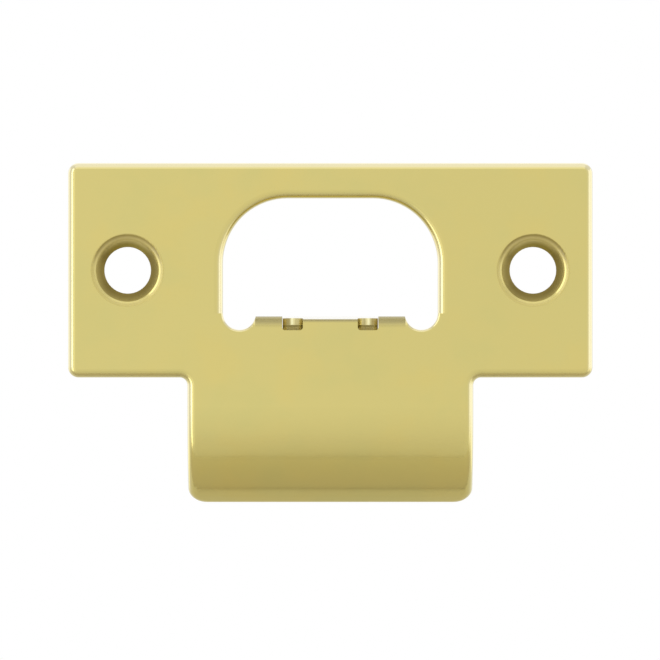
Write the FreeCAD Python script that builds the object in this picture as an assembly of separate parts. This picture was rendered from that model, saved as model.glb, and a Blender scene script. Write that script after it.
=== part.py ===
import FreeCAD, Part
import math
import os

# Door strike plate with a curved lip, pressed from one piece of brass sheet. Sizes in millimetres.
# X runs along the plate and Z up across it, with the lip pointing down.
# The show face looks along -Y, and the back face lies against the jamb at Y = 0.
# The origin is midway between the two screw holes, on the back face.

# Sheet, its softened show edge, and the most of the metal that a rounding may take
sheet = 1.6
edge_round = 1.2
rounding_share = 0.75

# Face plate
plate_length = 69.85
plate_height = 28.575
plate_corner = 1.4

# Lip that curls back round the edge of the jamb
lip_width = 38.1
lip_straight = 3.92
lip_curl_radius = 15.0
lip_curl_angle = 62.5
lip_corner = 2.6
lip_root_round = 1.0

# Countersunk screw holes, each with a wider and flatter mouth
screw_inset = 7.9375
screw_hole_radius = 3.1
screw_land = 0.06
countersink_angle = 82.0
countersink_radius = 4.05
mouth_radius = 4.75
countersink_step_round = 1.0
mouth_round = 0.4

# Latch hole
latch_width = 28.575
latch_top_rim = 4.72
latch_corner = 8.6
relief_round = 0.45
relief_past_bend = 0.05

# Tab folded back at the lower side of the latch hole
tab_width = 19.8
tab_level = 6.13
tab_reach = 8.0
tab_corner = 1.2
ear_bend_inside = 0.15

# Adjusting tongue lanced out of the middle of the tab
tongue_width = 12.7
tongue_drop = 0.4
tongue_edge_round = 0.55
tongue_gap = 0.05

# Notches that let the tongue bend at its root
notch_width = 2.7
notch_depth = 1.45
notch_reach = 3.0
notch_corner = 0.4
notch_far_corner = 0.8
notch_back_ease = 0.3
notch_ease_below_tongue = 0.05

# How far a cutting shape runs past the metal
overrun = 5.0

# Places worked out from the sizes above
front = -sheet
top_edge = plate_height / 2
lower_edge = -plate_height / 2
curl_start = lower_edge - lip_straight
curl_centre = front + lip_curl_radius
curl_angle = math.radians(lip_curl_angle)
front_round = min(edge_round, rounding_share * sheet)
screw_x = plate_length / 2 - screw_inset
countersink_top = -screw_land - (countersink_radius - screw_hole_radius) / math.tan(
    math.radians(countersink_angle / 2)
)
tab_top = -tab_level
tab_end = front + tab_reach
ear_bend_outside = sheet + ear_bend_inside
bend_line = tab_top - ear_bend_outside
relief_radius = (latch_width - tab_width) / 4
relief_x = (latch_width + tab_width) / 4
relief_z = bend_line - relief_past_bend + relief_radius
tongue_front = tab_top - tongue_drop
tongue_slope = math.atan2(tongue_drop, tab_reach)
tongue_rise = tab_reach * math.tan(tongue_slope)
tongue_fall = sheet / math.cos(tongue_slope)
tongue_under_root = tongue_front + sheet * math.tan(tongue_slope) - tongue_fall
neck_half = tongue_width / 2 - notch_width
ear_start = tongue_width / 2 + tongue_gap
notch_floor = tongue_front - notch_depth
notch_end = front + notch_reach
notch_far_round = min(notch_far_corner, rounding_share * notch_end)


def vector(x, y, z):
    return FreeCAD.Vector(x, y, z)


def line(start, end):
    return Part.LineSegment(start, end).toShape()


def arc(start, middle, end):
    return Part.Arc(start, middle, end).toShape()


def prism(edges, direction):
    return Part.Face(Part.Wire(edges)).extrude(direction)


def polygon_prism(points, direction):
    return Part.Face(Part.makePolygon(points + points[:1])).extrude(direction)


def block(x_range, y_range, z_range):
    size = [high - low for low, high in (x_range, y_range, z_range)]
    return Part.makeBox(*size, vector(x_range[0], y_range[0], z_range[0]))


def middle_of(edge):
    return edge.valueAt((edge.FirstParameter + edge.LastParameter) / 2)


def edges_where(shape, test):
    return [edge for edge in shape.Edges if test(edge)]


def runs_along(edge, axis):
    start = edge.valueAt(edge.FirstParameter)
    end = edge.valueAt(edge.LastParameter)
    travel = end.sub(start)
    return travel.Length > 1e-6 and abs(travel.dot(axis)) > travel.Length * (1 - 1e-6)


# The lip turns about a line parallel to X, behind the plate
def curl_point(radius, angle):
    return vector(0, curl_centre - radius * math.cos(angle), curl_start - radius * math.sin(angle))


def on_show_face(point):
    if point.z > curl_start:
        return abs(point.y - front) < 1e-4
    away = math.hypot(point.y - curl_centre, point.z - curl_start)
    return abs(away - lip_curl_radius) < 1e-4


# Bent sheet: flat plate, then the lip as one arc, as wide as the plate
def bent_sheet():
    inner_radius = lip_curl_radius - sheet
    edges = [
        line(vector(0, front, top_edge), vector(0, front, curl_start)),
        arc(
            curl_point(lip_curl_radius, 0),
            curl_point(lip_curl_radius, curl_angle / 2),
            curl_point(lip_curl_radius, curl_angle),
        ),
        line(curl_point(lip_curl_radius, curl_angle), curl_point(inner_radius, curl_angle)),
        arc(
            curl_point(inner_radius, curl_angle),
            curl_point(inner_radius, curl_angle / 2),
            curl_point(inner_radius, 0),
        ),
        line(vector(0, 0, curl_start), vector(0, 0, top_edge)),
        line(vector(0, 0, top_edge), vector(0, front, top_edge)),
    ]
    sheet_shape = prism(edges, vector(plate_length, 0, 0))
    sheet_shape.translate(vector(-plate_length / 2, 0, 0))
    return sheet_shape


# T outline of the plate and its lip, with the corners of the arms and the lip rounded
def t_outline(sheet_shape):
    side_trim_z = (curl_start - lip_curl_radius - overrun, lower_edge)
    side_trim_y = (front - overrun, curl_centre + overrun)
    for side in (-1, 1):
        trim_x = sorted((side * lip_width / 2, side * (plate_length / 2 + overrun)))
        sheet_shape = sheet_shape.cut(block(trim_x, side_trim_y, side_trim_z))
    through = vector(0, 1, 0)

    def at_arm_corner(edge):
        return runs_along(edge, through) and abs(abs(middle_of(edge).x) - plate_length / 2) < 1e-4

    def at_lip_root(edge):
        place = middle_of(edge)
        beside_lip = abs(abs(place.x) - lip_width / 2) < 1e-4
        return runs_along(edge, through) and beside_lip and abs(place.z - lower_edge) < 1e-4

    end_normal = curl_point(1, curl_angle).sub(curl_point(0, curl_angle))

    def at_lip_corner(edge):
        return runs_along(edge, end_normal) and middle_of(edge).z < curl_start

    sheet_shape = sheet_shape.makeFillet(plate_corner, edges_where(sheet_shape, at_arm_corner))
    sheet_shape = sheet_shape.makeFillet(lip_root_round, edges_where(sheet_shape, at_lip_root))
    return sheet_shape.makeFillet(lip_corner, edges_where(sheet_shape, at_lip_corner))


# Softened show edge all round the outline
def soften_outline(sheet_shape):
    def on_outline(edge):
        place = middle_of(edge)
        across_lip = runs_along(edge, vector(1, 0, 0)) and abs(place.z - curl_start) < 1e-4
        return on_show_face(place) and not across_lip

    return sheet_shape.makeFillet(front_round, edges_where(sheet_shape, on_outline))


# Latch hole above the tab: straight sides, two large upper corners and a softened show edge
def latch_hole(sheet_shape):
    half = latch_width / 2
    top = top_edge - latch_top_rim
    start_y = front - overrun
    swing = latch_corner * (1 - math.sqrt(0.5))
    low_left = vector(-half, start_y, relief_z)
    left = vector(-half, start_y, top - latch_corner)
    top_left = vector(-half + latch_corner, start_y, top)
    top_right = vector(half - latch_corner, start_y, top)
    right = vector(half, start_y, top - latch_corner)
    low_right = vector(half, start_y, relief_z)
    edges = [
        line(low_left, left),
        arc(left, vector(-half + swing, start_y, top - swing), top_left),
        line(top_left, top_right),
        arc(top_right, vector(half - swing, start_y, top - swing), right),
        line(right, low_right),
        line(low_right, low_left),
    ]
    opened = sheet_shape.cut(prism(edges, vector(0, sheet + 2 * overrun, 0)))

    def on_rim(edge):
        place = middle_of(edge)
        beside = abs(place.x) < half + 1e-4 and relief_z + 1e-4 < place.z < top + 1e-4
        return on_show_face(place) and beside

    return opened.makeFillet(front_round, edges_where(opened, on_rim))


# Rounded relief at each end of the fold, flared where it meets the show face
def relief_cutter(side):
    flare_radius = relief_radius + relief_round
    flare_start = front + relief_round
    swing = relief_round * (1 - math.sqrt(0.5))
    edges = [
        line(vector(0, overrun, 0), vector(relief_radius, overrun, 0)),
        line(vector(relief_radius, overrun, 0), vector(relief_radius, flare_start, 0)),
        arc(
            vector(relief_radius, flare_start, 0),
            vector(relief_radius + swing, front + swing, 0),
            vector(flare_radius, front, 0),
        ),
        line(vector(flare_radius, front, 0), vector(flare_radius, front - overrun, 0)),
        line(vector(flare_radius, front - overrun, 0), vector(0, front - overrun, 0)),
        line(vector(0, front - overrun, 0), vector(0, overrun, 0)),
    ]
    cutter = Part.Face(Part.Wire(edges)).revolve(vector(0, 0, 0), vector(0, 1, 0), 360)
    cutter.translate(vector(side * relief_x, 0, relief_z))
    return cutter


# Fold of the two ears, as one bar across the foot of the latch hole
def ear_bar():
    bend_y = front + ear_bend_outside
    root = bend_line - sheet

    def bend_point(radius, angle):
        return vector(0, bend_y - radius * math.cos(angle), bend_line + radius * math.sin(angle))

    quarter = math.pi / 2
    underside = tab_top - sheet
    edges = [
        line(vector(0, front, root), bend_point(ear_bend_outside, 0)),
        arc(
            bend_point(ear_bend_outside, 0),
            bend_point(ear_bend_outside, quarter / 2),
            bend_point(ear_bend_outside, quarter),
        ),
        line(bend_point(ear_bend_outside, quarter), vector(0, tab_end, tab_top)),
        line(vector(0, tab_end, tab_top), vector(0, tab_end, underside)),
        line(vector(0, tab_end, underside), bend_point(ear_bend_inside, quarter)),
        arc(
            bend_point(ear_bend_inside, quarter),
            bend_point(ear_bend_inside, quarter / 2),
            bend_point(ear_bend_inside, 0),
        ),
        line(bend_point(ear_bend_inside, 0), vector(0, 0, root)),
        line(vector(0, 0, root), vector(0, front, root)),
    ]
    bar = prism(edges, vector(2 * relief_x, 0, 0))
    bar.translate(vector(-relief_x, 0, 0))
    return bar


# Ears: the fold on both sides of the tongue, with rounded free corners
def ears():
    bar = ear_bar()
    behind = (0, tab_end + overrun)
    heights = (bend_line - overrun, tab_top + overrun)
    for side in (-1, 1):
        trim_x = sorted((side * tab_width / 2, side * (relief_x + overrun)))
        bar = bar.cut(block(trim_x, behind, heights))
    between = (-ear_start, ear_start)
    bar = bar.cut(block(between, (front - overrun, tab_end + overrun), heights))

    def at_free_corner(edge):
        place = middle_of(edge)
        outside = abs(abs(place.x) - tab_width / 2) < 1e-4
        return runs_along(edge, vector(0, 0, 1)) and outside and abs(place.y - tab_end) < 1e-4

    return bar.makeFillet(tab_corner, edges_where(bar, at_free_corner))


# Tongue: a sharper fold, a little lower than the ears at its root and level with them at its end
def tongue():
    end_top = tongue_front + tongue_rise
    root = bend_line - sheet
    points = [
        vector(0, front, root),
        vector(0, front, tongue_front),
        vector(0, tab_end, end_top),
        vector(0, tab_end, end_top - tongue_fall),
        vector(0, 0, tongue_under_root),
        vector(0, 0, root),
    ]
    bar = polygon_prism(points, vector(tongue_width, 0, 0))
    bar.translate(vector(-tongue_width / 2, 0, 0))

    def on_fold(edge):
        place = middle_of(edge)
        level = abs(place.z - tongue_front) < 1e-4
        return runs_along(edge, vector(1, 0, 0)) and level and abs(place.y - front) < 1e-4

    def at_free_corner(edge):
        place = middle_of(edge)
        outside = abs(abs(place.x) - tongue_width / 2) < 1e-4
        return runs_along(edge, vector(0, 0, 1)) and outside and abs(place.y - tab_end) < 1e-4

    bar = bar.makeFillet(tongue_edge_round, edges_where(bar, on_fold))
    return bar.makeFillet(tab_corner, edges_where(bar, at_free_corner))


# Metal left at the foot of the cut between the tongue and an ear, which the notch's corner runs into
def cut_foot(side):
    across = sorted((side * tongue_width / 2, side * ear_start))
    return block(across, (front + tongue_gap, 0), (bend_line - sheet, notch_floor + notch_corner))


# Notch at one side of the tongue's root: through the plate's edge, then through the tongue.
# Its back edge is eased, so that the back face ends below the tongue's underside.
def notch_cutters(side):
    across = sorted((side * neck_half, side * ear_start))
    above = tongue_front + overrun
    through_plate = block(across, (front - overrun, 0), (notch_floor, above))

    def at_floor_corner(edge):
        return runs_along(edge, vector(0, 1, 0)) and abs(middle_of(edge).z - notch_floor) < 1e-4

    through_plate = through_plate.makeFillet(notch_corner, edges_where(through_plate, at_floor_corner))
    through_tongue = block(across, (0, notch_end), (notch_floor - overrun, above))

    def at_far_corner(edge):
        return runs_along(edge, vector(0, 0, 1)) and abs(middle_of(edge).y - notch_end) < 1e-4

    far_corners = edges_where(through_tongue, at_far_corner)
    through_tongue = through_tongue.makeFillet(notch_far_round, far_corners)
    ease_floor = min(notch_floor, tongue_under_root - notch_ease_below_tongue)
    eased_edge = block(across, (-notch_back_ease, 0), (ease_floor, above))
    return through_plate, through_tongue, eased_edge


# Countersunk hole: a short straight land at the back, the countersink, then its flatter mouth
def screw_cutter(side):
    mouth_slope = (mouth_radius - countersink_radius) / (countersink_top - front)
    wide = mouth_radius + overrun * mouth_slope
    points = [
        vector(0, overrun, 0),
        vector(screw_hole_radius, overrun, 0),
        vector(screw_hole_radius, -screw_land, 0),
        vector(countersink_radius, countersink_top, 0),
        vector(wide, front - overrun, 0),
        vector(0, front - overrun, 0),
    ]
    outline = Part.Face(Part.makePolygon(points + points[:1]))
    cutter = outline.revolve(vector(0, 0, 0), vector(0, 1, 0), 360)
    cutter.translate(vector(side * screw_x, 0, 0))
    return cutter


def screw_holes(sheet_shape):
    for side in (-1, 1):
        sheet_shape = sheet_shape.cut(screw_cutter(side))

    def circles_at(radius, level):
        def on_circle(edge):
            if not isinstance(edge.Curve, Part.Circle):
                return False
            return abs(edge.Curve.Radius - radius) < 1e-4 and abs(middle_of(edge).y - level) < 1e-4

        return edges_where(sheet_shape, on_circle)

    step_edges = circles_at(countersink_radius, countersink_top)
    sheet_shape = sheet_shape.makeFillet(countersink_step_round, step_edges)
    return sheet_shape.makeFillet(mouth_round, circles_at(mouth_radius, front))


def strike_plate():
    shape = soften_outline(t_outline(bent_sheet()))
    shape = latch_hole(shape)
    shape = screw_holes(shape)
    foot = block((-relief_x, relief_x), (front - overrun, overrun), (bend_line, relief_z))
    shape = shape.cut(foot)
    shape = shape.fuse([ears(), tongue(), cut_foot(-1), cut_foot(1)])
    for side in (-1, 1):
        shape = shape.cut(relief_cutter(side))
        for cutter in notch_cutters(side):
            shape = shape.cut(cutter)
    return shape.removeSplitter()


os.makedirs("parts", exist_ok=True)
plate = strike_plate()
print("valid", plate.isValid(), "solids", len(plate.Solids), "volume", round(plate.Volume, 3))
plate.Solids[0].exportStep("parts/strike_plate.step")
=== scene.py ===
import bpy
import math
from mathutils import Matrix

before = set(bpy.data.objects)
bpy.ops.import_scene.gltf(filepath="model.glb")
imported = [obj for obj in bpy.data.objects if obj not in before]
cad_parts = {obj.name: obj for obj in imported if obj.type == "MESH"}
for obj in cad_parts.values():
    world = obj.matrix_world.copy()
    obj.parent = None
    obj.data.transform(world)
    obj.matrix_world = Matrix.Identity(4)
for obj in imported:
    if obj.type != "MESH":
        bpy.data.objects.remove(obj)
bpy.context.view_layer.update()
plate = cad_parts["strike_plate"]

# Places on the plate in metres, as the solid has them
sheet = 0.0016
lip_curl_radius = 0.015
lip_curl_start = -0.0182075
screw_x = 0.0269875
aperture_radius = 0.0031
countersink_radius = 0.00405
step_edge_radius = 0.00423
mouth_radius = 0.00475
tab_half_width = 0.0099
tab_top = -0.00613
tongue_root_front = -0.00105
notch_inner_x = 0.00365
notch_outer_x = 0.0064
notch_tear = -0.00728
notch_floor = -0.00798
notch_wall_y = 0.0014

# Rings round a screw's axis in metres: from, to, and for a ring with soft edges how soft they are
cone_edge = (countersink_radius + 0.0001, step_edge_radius)
cone_slope = (aperture_radius + 0.0003, countersink_radius)
upper_mouth_shade_ring = (countersink_radius, mouth_radius + 0.00008, 0.00008)
upper_mouth_shade_rim = (0.00445, 0.00468)
mouth_ring = (step_edge_radius - 0.00005, mouth_radius + 0.00012, 0.00008)
dull_ring = (step_edge_radius + 0.00018, mouth_radius + 0.00015, 0.00008)
clear_of_mouth = mouth_radius + 0.0004

# Marks on the far wall of a notch in metres, by the distance from the plate's middle or below the tear; the
# bright and pale streaks are a painted highlight and the shaded end is painted shade
wall_span = (notch_inner_x, notch_outer_x, 0.00002)
painted_highlight_span = (0.00495, 0.00525, 0.00008)
painted_sheen_span = (0.0047, 0.0053, 0.00012)
shaded_end = (0.0054, 0.0056)
torn_line_span = (0.00004, 0.00022, 0.00005)

# How far the satin lines, the sheared edge and the notch wall stand up, in metres
satin_relief = 0.00000035
edge_relief = 0.00002
wall_relief = 0.00003

# Camera, square on to the plate and far away
camera_distance = 0.8
camera_lens = 328.2
camera_x = -0.00004
camera_z = -0.00795

# Pale floor below the plate, fading into the white round it, fast behind the plate and slowly in front, so
# that its grey near the plate is painted shade
floor_level = -0.060
floor_size = 1.2
floor_colour = (0.60, 0.58, 0.515, 1.0)
floor_back_fade = (0.0, 0.13)
floor_front_reach = 0.021
floor_front_end = (0.3, 0.6)
floor_middle = 0.03

# Narrow warm grey card on the floor, for the lip to show, darker towards its back under the plate as painted
# shadow
card_depth = (-0.0284, 0.0085)
card_half_length = 0.12
card_lift = 0.0002
card_front_colour = (0.65, 0.62, 0.535, 1.0)
card_shadow_colour = (0.54, 0.50, 0.425, 1.0)

# Softboxes stand this far from the plate
lamp_distance = 1.2


def make_node(tree, kind, inputs=None, **settings):
    node = tree.nodes.new(kind)
    for name, value in settings.items():
        setattr(node, name, value)
    for name, value in (inputs or {}).items():
        if isinstance(value, bpy.types.NodeSocket):
            tree.links.new(value, node.inputs[name])
        else:
            node.inputs[name].default_value = value
    return node


# Arithmetic on node sockets, one node a step
def calculate(tree, operation, *values, clamp=False):
    node = make_node(tree, "ShaderNodeMath", dict(enumerate(values)), operation=operation)
    node.use_clamp = clamp
    return node.outputs[0]


def product(tree, *values):
    result = values[0]
    for value in values[1:]:
        result = calculate(tree, "MULTIPLY", result, value)
    return result


def inverse(tree, value):
    return calculate(tree, "SUBTRACT", 1.0, value)


# 0 below the first value and 1 above the second, with a soft step between
def soft_step(tree, value, low, high):
    inputs = {"Value": value, "From Min": low, "From Max": high}
    node = make_node(tree, "ShaderNodeMapRange", inputs, interpolation_type="SMOOTHSTEP")
    return node.outputs["Result"]


# 1 where the value lies between low and high, with soft ends
def soft_band(tree, value, low, high, soft):
    rise = soft_step(tree, value, low - soft, low + soft)
    fall = soft_step(tree, value, high - soft, high + soft)
    return product(tree, rise, inverse(tree, fall))


def mix_colour(tree, factor, first, second):
    node = make_node(tree, "ShaderNodeMix", data_type="RGBA")
    for name, value in (("Factor_Float", factor), ("A_Color", first), ("B_Color", second)):
        socket = next(item for item in node.inputs if item.identifier == name)
        if isinstance(value, bpy.types.NodeSocket):
            tree.links.new(value, socket)
        else:
            socket.default_value = value
    return next(item for item in node.outputs if item.identifier == "Result_Color")


def separate(tree, vector):
    return make_node(tree, "ShaderNodeSeparateXYZ", {"Vector": vector}).outputs


def vector_maths(tree, operation, *values):
    return make_node(tree, "ShaderNodeVectorMath", dict(enumerate(values)), operation=operation).outputs


def object_place(tree):
    return tree.nodes.new("ShaderNodeTexCoord").outputs["Object"]


# Object coordinates scaled by their own number of features per metre on each axis
def scaled_place(tree, x, y, z):
    scale = make_node(tree, "ShaderNodeCombineXYZ", {"X": x, "Y": y, "Z": z}).outputs[0]
    return vector_maths(tree, "MULTIPLY", object_place(tree), scale)["Vector"]


# Starts a node group and gives its tree, the sockets that it is given and those of its result
def start_group(name, inputs, outputs):
    group = bpy.data.node_groups.new(name, "ShaderNodeTree")
    for socket_name, value in inputs.items():
        socket = group.interface.new_socket(socket_name, in_out="INPUT", socket_type="NodeSocketFloat")
        socket.default_value = value
    for socket_name in outputs:
        group.interface.new_socket(socket_name, in_out="OUTPUT", socket_type="NodeSocketFloat")
    given = group.nodes.new("NodeGroupInput")
    result = group.nodes.new("NodeGroupOutput")
    return group, given.outputs, result.inputs


# Where a point is on the sheet: how deep below the show face, and which way its surface looks
def sheet_place_group():
    group, given, result = start_group(
        "sheet place",
        {"Rounded From": 0.02, "Rounded To": 0.25, "Cut From": 0.7, "Cut To": 0.95},
        ("Depth", "Rounded", "Back", "Cut Edge"),
    )
    place = separate(group, object_place(group))
    surface_normal = group.nodes.new("ShaderNodeNewGeometry").outputs["Normal"]

    # The lip curls about an axis, and the rest of the sheet is flat
    away_y = calculate(group, "SUBTRACT", place["Y"], lip_curl_radius - sheet)
    away_z = calculate(group, "SUBTRACT", place["Z"], lip_curl_start)
    away = make_node(group, "ShaderNodeCombineXYZ", {"Y": away_y, "Z": away_z}).outputs[0]
    radius = vector_maths(group, "LENGTH", away)["Value"]
    outward = vector_maths(group, "NORMALIZE", away)["Vector"]
    in_lip = calculate(group, "LESS_THAN", place["Z"], lip_curl_start)
    flat_depth = calculate(group, "ADD", place["Y"], sheet)
    lip_depth = calculate(group, "SUBTRACT", lip_curl_radius, radius)
    depth = make_node(
        group, "ShaderNodeMix", {"Factor": in_lip, "A": flat_depth, "B": lip_depth}, data_type="FLOAT"
    ).outputs["Result"]
    show_way = make_node(group, "ShaderNodeMix", {"Factor": in_lip}, data_type="VECTOR")
    flat_way, lip_way = [item for item in show_way.inputs if item.type == "VECTOR" and item.enabled]
    flat_way.default_value = (0, -1, 0)
    group.links.new(outward, lip_way)
    show_side = next(item for item in show_way.outputs if item.enabled)

    # 1 for a surface that looks to the show side, 0 sideways and -1 to the back
    facing = vector_maths(group, "DOT_PRODUCT", surface_normal, show_side)["Value"]
    sideways = inverse(group, calculate(group, "ABSOLUTE", facing))
    backwards = calculate(group, "MULTIPLY", facing, -1.0)
    in_sheet = soft_band(group, depth, 0.0, sheet + 0.00005, 0.00002)
    upright = soft_step(group, sideways, given["Cut From"], given["Cut To"])
    group.links.new(depth, result["Depth"])
    group.links.new(
        soft_step(group, sideways, given["Rounded From"], given["Rounded To"]), result["Rounded"]
    )
    group.links.new(soft_step(group, backwards, 0.5, 0.9), result["Back"])
    group.links.new(product(group, upright, in_sheet), result["Cut Edge"])
    return group


# Fine lines left by satin polishing, drawn out along the plate
def satin_grain_group():
    group, given, result = start_group(
        "satin grain",
        {"Lines per Metre": 4200.0, "Line Stretch": 0.04},
        ("Height", "Tone"),
    )
    across = given["Lines per Metre"]
    along = calculate(group, "MULTIPLY", across, given["Line Stretch"])
    inputs = {
        "Vector": scaled_place(group, along, across, across),
        "Scale": 1.0,
        "Detail": 3.0,
        "Roughness": 0.6,
    }
    lines = make_node(group, "ShaderNodeTexNoise", inputs).outputs["Fac"]
    group.links.new(lines, result["Height"])
    group.links.new(soft_step(group, lines, 0.35, 0.65), result["Tone"])
    return group


# Faint clouds of tone under the lacquer
def tone_clouds_group():
    group, given, result = start_group("tone clouds", {"Clouds per Metre": 120.0}, ("Warm", "Cool"))
    inputs = {
        "Vector": object_place(group),
        "Scale": given["Clouds per Metre"],
        "Detail": 3.0,
        "Roughness": 0.55,
    }
    clouds = make_node(group, "ShaderNodeTexNoise", inputs).outputs["Color"]
    parts = make_node(group, "ShaderNodeSeparateColor", {"Color": clouds}).outputs
    group.links.new(soft_step(group, parts["Red"], 0.45, 0.7), result["Warm"])
    group.links.new(soft_step(group, parts["Green"], 0.45, 0.7), result["Cool"])
    return group


# Sheared metal: a burnished band with fine streaks across the sheet, then a rougher torn band.
# Depth and Torn From have the same unit, which is for the material to choose.
def sheared_metal_group():
    group, given, result = start_group(
        "sheared metal",
        {"Depth": 0.5, "Torn From": 0.6, "Streaks per Metre": 2600.0},
        ("Streak", "Torn", "Height"),
    )
    drawn_out = scaled_place(group, given["Streaks per Metre"], 60.0, 60.0)
    inputs = {"Vector": drawn_out, "Scale": 1.0, "Detail": 2.0}
    streaks = make_node(group, "ShaderNodeTexNoise", inputs).outputs["Fac"]
    inputs = {"Vector": object_place(group), "Scale": 9000.0, "Detail": 4.0, "Roughness": 0.7}
    grit = make_node(group, "ShaderNodeTexNoise", inputs).outputs["Fac"]
    wander = calculate(group, "MULTIPLY_ADD", streaks, 0.16, given["Depth"])
    torn = soft_step(group, calculate(group, "SUBTRACT", wander, given["Torn From"]), 0.03, 0.11)
    rough_height = calculate(group, "MULTIPLY", grit, torn)
    fine_height = calculate(group, "MULTIPLY", streaks, 0.35)
    group.links.new(soft_step(group, streaks, 0.35, 0.65), result["Streak"])
    group.links.new(torn, result["Torn"])
    group.links.new(calculate(group, "ADD", rough_height, fine_height), result["Height"])
    return group


# Satin brass under clear lacquer, with its dull, drawn and sheared places
def satin_brass():
    material = bpy.data.materials.new("satin brass")
    material.use_nodes = True
    tree = material.node_tree
    shader = tree.nodes["Principled BSDF"]
    where = make_node(tree, "ShaderNodeGroup", node_tree=sheet_place_group()).outputs
    grain = make_node(tree, "ShaderNodeGroup", node_tree=satin_grain_group()).outputs
    clouds = make_node(tree, "ShaderNodeGroup", node_tree=tone_clouds_group()).outputs
    sheared_metal = sheared_metal_group()
    place = separate(tree, object_place(tree))
    normal = separate(tree, tree.nodes.new("ShaderNodeNewGeometry").outputs["Normal"])
    downward = calculate(tree, "MULTIPLY", normal["Z"], -1.0)
    across = calculate(tree, "ABSOLUTE", place["X"])
    from_screw = calculate(tree, "SUBTRACT", across, screw_x)
    from_screw_squared = calculate(tree, "MULTIPLY", from_screw, from_screw)
    from_axis_squared = calculate(tree, "MULTIPLY_ADD", place["Z"], place["Z"], from_screw_squared)
    from_axis = calculate(tree, "SQRT", from_axis_squared)

    # Countersinks: the machined cone below the mouth is duller than the polished face, and its colour is
    # painted shade, darker deeper in and lighter on the upper side that faces down
    before_back = calculate(tree, "LESS_THAN", place["Y"], -0.00001)
    cone = product(tree, inverse(tree, soft_step(tree, from_axis, *cone_edge)), before_back)
    up_cone = soft_step(tree, from_axis, *cone_slope)
    upper_cone = soft_step(tree, downward, 0.35, 0.7)

    # Mouths: less polish than the face, and a darker colour that is painted shade, weaker on the lower side
    # that faces up; on the upper side more painted shade, darkest at the outer rim
    show_half = calculate(tree, "LESS_THAN", place["Y"], -sheet / 2)
    facing_up = soft_step(tree, normal["Z"], 0.02, 0.2)
    less_shade_below = calculate(tree, "MULTIPLY_ADD", facing_up, -0.3, 1.0)
    dull_shaded_mouth = product(tree, soft_band(tree, from_axis, *mouth_ring), show_half, less_shade_below)
    dull_mouth = product(tree, soft_band(tree, from_axis, *dull_ring), show_half)
    in_mouth = product(tree, soft_band(tree, from_axis, *upper_mouth_shade_ring), show_half)
    shaded_upper_mouth = product(tree, in_mouth, soft_step(tree, downward, 0.04, 0.32))
    at_rim = soft_step(tree, from_axis, *upper_mouth_shade_rim)

    # Fold of the tab: drawn metal that no polishing reached, rougher, and darker by painted shade on its
    # surfaces that face up into the hole
    at_tab = product(
        tree,
        calculate(tree, "LESS_THAN", across, tab_half_width + 0.0001),
        soft_band(tree, place["Z"], tab_top - 0.0024, tab_top + 0.001, 0.0002),
    )
    off_tab = inverse(tree, at_tab)
    on_tongue = calculate(tree, "LESS_THAN", across, notch_outer_x)
    fold_end = calculate(tree, "MULTIPLY_ADD", on_tongue, tongue_root_front, 0.00005)
    before_end = calculate(tree, "LESS_THAN", place["Y"], fold_end)
    shaded_fold = product(tree, at_tab, before_end, soft_step(tree, normal["Z"], 0.08, 0.62))

    # Notches: the far wall is the sheared end of the tongue, measured in millimetres below its tear
    notch_wall = product(
        tree,
        soft_band(tree, across, *wall_span),
        calculate(tree, "GREATER_THAN", place["Y"], 0.0),
        calculate(tree, "LESS_THAN", place["Y"], notch_wall_y + 0.0004),
        calculate(tree, "LESS_THAN", normal["Y"], -0.05),
        calculate(tree, "GREATER_THAN", place["Z"], notch_floor - 0.0008),
    )
    below_tear = calculate(tree, "SUBTRACT", notch_tear, place["Z"])
    below_tear_mm = calculate(tree, "MULTIPLY", below_tear, 1000.0)
    inputs = {"Depth": below_tear_mm, "Torn From": 0.0}
    wall_shear = make_node(tree, "ShaderNodeGroup", inputs, node_tree=sheared_metal).outputs
    torn_line = soft_band(tree, below_tear, *torn_line_span)
    painted_highlight_streak = soft_band(tree, across, *painted_highlight_span)
    painted_sheen_streak = soft_band(tree, across, *painted_sheen_span)
    shaded = soft_step(tree, across, *shaded_end)

    # Cut edges of the blank, measured in shares of the sheet from the show face
    share_of_sheet = calculate(tree, "DIVIDE", where["Depth"], sheet)
    inputs = {"Depth": share_of_sheet, "Torn From": 0.72}
    edge_shear = make_node(tree, "ShaderNodeGroup", inputs, node_tree=sheared_metal).outputs
    cut_edge = product(tree, where["Cut Edge"], off_tab)
    torn_edge = product(tree, cut_edge, edge_shear["Torn"])

    # Rims that face sideways or up get a paler colour as painted highlight, and those of the flat plate that
    # face down get a darker one as painted shade
    off_mouth = calculate(tree, "GREATER_THAN", from_axis, clear_of_mouth)
    not_below = inverse(tree, soft_step(tree, downward, 0.0, 0.35))
    painted_rim_highlight = product(tree, where["Rounded"], not_below, off_tab, off_mouth)
    above_lip = calculate(tree, "GREATER_THAN", place["Z"], lip_curl_start + 0.001)
    under_rim = soft_band(tree, downward, 0.16, 0.88, 0.14)
    painted_rim_shade = product(tree, where["Rounded"], under_rim, above_lip, off_mouth)

    # Colour of the notch wall: sheared streaks, a painted highlight streak and painted shade at the outer end
    # first, then the torn metal below them
    wall_colour = mix_colour(tree, wall_shear["Streak"], (0.50, 0.43, 0.18, 1), (0.64, 0.56, 0.25, 1))
    for mask, shade in (
        (painted_sheen_streak, (0.80, 0.72, 0.36, 1)),
        (painted_highlight_streak, (0.97, 0.92, 0.55, 1)),
        (shaded, (0.40, 0.32, 0.11, 1)),
        (wall_shear["Torn"], (0.40, 0.33, 0.11, 1)),
        (torn_line, (0.24, 0.19, 0.045, 1)),
    ):
        wall_colour = mix_colour(tree, mask, wall_colour, shade)
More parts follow.
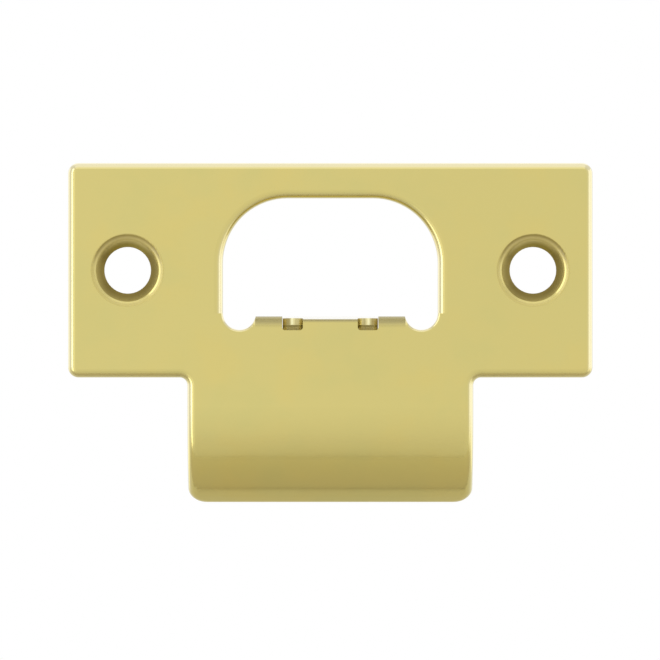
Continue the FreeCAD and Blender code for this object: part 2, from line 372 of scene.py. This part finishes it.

    # Colour: the polished brass, then each finish and each painted highlight or shade over it with its
    # strength
    # Painted shade in the countersink cones: darker deeper in, lighter on the upper side
    lower_cone_painted_shade = mix_colour(tree, up_cone, (0.20, 0.15, 0.035, 1), (0.30, 0.24, 0.075, 1))
    upper_cone_painted_shade = mix_colour(tree, up_cone, (0.34, 0.27, 0.06, 1), (0.64, 0.55, 0.23, 1))
    cone_painted_shade = mix_colour(tree, upper_cone, lower_cone_painted_shade, upper_cone_painted_shade)
    # Painted shade on the upper side of each mouth, darkest at its outer rim
    shaded_upper_mouth_colour = mix_colour(tree, at_rim, (0.52, 0.43, 0.15, 1), (0.36, 0.285, 0.065, 1))
    colour = (0.638, 0.547, 0.186, 1)
    for mask, strength, shade in (
        (clouds["Warm"], 0.6, (0.665, 0.548, 0.172, 1)),
        (clouds["Cool"], 0.6, (0.601, 0.536, 0.186, 1)),
        (painted_rim_highlight, 0.8, (0.70, 0.64, 0.41, 1)),
        (painted_rim_shade, 0.4, (0.50, 0.43, 0.19, 1)),
        (where["Back"], 0.6, (0.52, 0.44, 0.15, 1)),
        (dull_shaded_mouth, 0.6, (0.53, 0.445, 0.15, 1)),
        (cone, 0.95, cone_painted_shade),
        (shaded_upper_mouth, 0.85, shaded_upper_mouth_colour),
        (shaded_fold, 0.85, (0.30, 0.26, 0.115, 1)),
        (torn_edge, 0.7, (0.36, 0.29, 0.11, 1)),
        (notch_wall, 1.0, wall_colour),
    ):
        colour = mix_colour(tree, calculate(tree, "MULTIPLY", mask, strength), colour, shade)

    # Roughness: even on the polished metal, and more where it is bare, cut or folded
    roughness = calculate(tree, "MULTIPLY_ADD", grain["Tone"], 0.03, 0.14)
    for mask, added in (
        (where["Back"], 0.14),
        (cone, 0.22),
        (dull_shaded_mouth, 0.12),
        (dull_mouth, 0.3),
        (shaded_upper_mouth, 0.25),
        (shaded_fold, 0.25),
        (torn_edge, 0.3),
        (notch_wall, 0.2),
    ):
        roughness = calculate(tree, "MULTIPLY_ADD", mask, added, roughness)

    # Relief: satin lines on the faces, streaks and grit on the sheared metal
    on_faces = inverse(tree, where["Rounded"])
    satin_height = product(tree, grain["Height"], on_faces, satin_relief)
    edge_height = product(tree, cut_edge, edge_shear["Height"], edge_relief)
    wall_height = product(tree, notch_wall, wall_shear["Height"], wall_relief)
    height = calculate(tree, "ADD", satin_height, calculate(tree, "ADD", edge_height, wall_height))
    bump = make_node(tree, "ShaderNodeBump", {"Height": height, "Strength": 1.0, "Distance": 1.0})

    # Lacquer: thickest on the rounded edges, thin in the fold and none on the bare cones
    missed = calculate(tree, "MAXIMUM", cone, calculate(tree, "MULTIPLY", shaded_fold, 0.6))
    lacquer = calculate(tree, "MULTIPLY_ADD", where["Rounded"], 0.5, 0.5)
    lacquer = product(tree, lacquer, inverse(tree, missed))

    tree.links.new(colour, shader.inputs["Base Color"])
    tree.links.new(lacquer, shader.inputs["Coat Weight"])
    tree.links.new(roughness, shader.inputs["Roughness"])
    tree.links.new(bump.outputs["Normal"], shader.inputs["Normal"])
    shader.inputs["Metallic"].default_value = 1.0
    shader.inputs["Coat Roughness"].default_value = 0.06
    return material


def make_camera():
    bpy.ops.object.camera_add(
        location=(camera_x, -sheet - camera_distance, camera_z),
        rotation=(math.radians(90), 0, 0),
    )
    camera = bpy.context.object
    camera.name = "camera"
    camera.data.lens = camera_lens
    camera.data.sensor_width = 36
    camera.data.clip_start = 0.01
    camera.data.clip_end = 10
    bpy.context.scene.camera = camera


def make_world():
    world = bpy.data.worlds.new("studio")
    world.use_nodes = True
    background = world.node_tree.nodes["Background"]
    background.inputs["Color"].default_value = (1, 1, 1, 1)
    background.inputs["Strength"].default_value = 1.0
    bpy.context.scene.world = world


# Softbox at a bearing and height in degrees as seen from the plate, which it faces
def softbox(name, bearing, height, size, glow):
    turn = math.radians(bearing)
    rise = math.radians(height)
    place = (
        lamp_distance * math.sin(turn) * math.cos(rise),
        -lamp_distance * math.cos(turn) * math.cos(rise),
        lamp_distance * math.sin(rise),
    )
    bpy.ops.object.light_add(type="AREA", location=place)
    lamp = bpy.context.object
    lamp.name = name
    lamp.data.shape = "RECTANGLE"
    lamp.data.size = size[0]
    lamp.data.size_y = size[1]
    lamp.data.energy = glow * math.pi * size[0] * size[1]
    lamp.rotation_euler = (-lamp.location).to_track_quat("-Z", "Y").to_euler()


def matt_material(name, colour):
    material = bpy.data.materials.new(name)
    material.use_nodes = True
    shader = material.node_tree.nodes["Principled BSDF"]
    shader.inputs["Base Color"].default_value = colour
    shader.inputs["Roughness"].default_value = 0.9
    return material, material.node_tree, shader


# Clear where the fade is 1
def fade_out(tree, shader, fade):
    clear = tree.nodes.new("ShaderNodeBsdfTransparent")
    inputs = {0: fade, 1: shader.outputs["BSDF"], 2: clear.outputs["BSDF"]}
    mix = make_node(tree, "ShaderNodeMixShader", inputs)
    tree.links.new(mix.outputs["Shader"], tree.nodes["Material Output"].inputs["Surface"])


def make_floor():
    bpy.ops.mesh.primitive_plane_add(size=floor_size, location=(0, 0, floor_level))
    floor = bpy.context.object
    floor.name = "floor"
    material, tree, shader = matt_material("pale floor", floor_colour)
    # Grey near the plate and clear further out: painted shade round the plate
    place = object_place(tree)
    away = vector_maths(tree, "LENGTH", place)["Value"]
    back_fade = soft_step(tree, away, *floor_back_fade)
    front_shade = calculate(tree, "DIVIDE", floor_front_reach, away, clamp=True)
    near = inverse(tree, soft_step(tree, away, *floor_front_end))
    front_fade = inverse(tree, product(tree, front_shade, near))
    to_back = soft_step(tree, separate(tree, place)["Y"], -floor_middle, floor_middle)
    behind = calculate(tree, "SUBTRACT", back_fade, front_fade)
    fade_out(tree, shader, calculate(tree, "MULTIPLY_ADD", behind, to_back, front_fade))
    floor.data.materials.append(material)


# Card whose ends and sides fade out, and which darkens towards its back, under the plate, as painted shadow
def make_card():
    bpy.ops.mesh.primitive_plane_add(size=1, location=(0, sum(card_depth) / 2, floor_level + card_lift))
    card = bpy.context.object
    card.name = "grey_card"
    card.scale = (2 * card_half_length, card_depth[1] - card_depth[0], 1)
    material, tree, shader = matt_material("grey card", card_front_colour)
    place = separate(tree, object_place(tree))
    inputs = {"Value": place["Y"], "From Min": -0.35, "From Max": 0.45}
    to_back = make_node(tree, "ShaderNodeMapRange", inputs).outputs["Result"]
    shade = mix_colour(tree, to_back, card_front_colour, card_shadow_colour)
    tree.links.new(shade, shader.inputs["Base Color"])
    end_fade = soft_step(tree, calculate(tree, "ABSOLUTE", place["X"]), 0.2, 0.5)
    side_fade = soft_step(tree, calculate(tree, "ABSOLUTE", place["Y"]), 0.38, 0.5)
    fade_out(tree, shader, calculate(tree, "MAXIMUM", end_fade, side_fade))
    card.data.materials.append(material)


make_camera()
make_world()
make_floor()
make_card()
for name, bearing, height, size, glow in (
    ("left softbox", -61, 3, (0.42, 1.9), 1.5),
    ("left fill softbox", -35, -6, (0.38, 1.5), 0.26),
    ("front left softbox", -12, 0, (0.5, 1.5), 0.042),
    ("left rim softbox", -125, 2, (0.7, 1.1), 0.4),
    ("right softbox", 78, -6, (0.5, 1.5), 0.5),
    ("right rim softbox", 112, 2, (0.8, 1.1), 0.45),
    ("top softbox", 0, 70, (1.2, 1.38), 0.26),
    ("top back softbox", 180, 50, (1.2, 1.0), 0.28),
):
    softbox(name, bearing, height, size, glow)
plate.material_slots[0].material = satin_brass()
bpy.context.scene.view_settings.view_transform = "Standard"
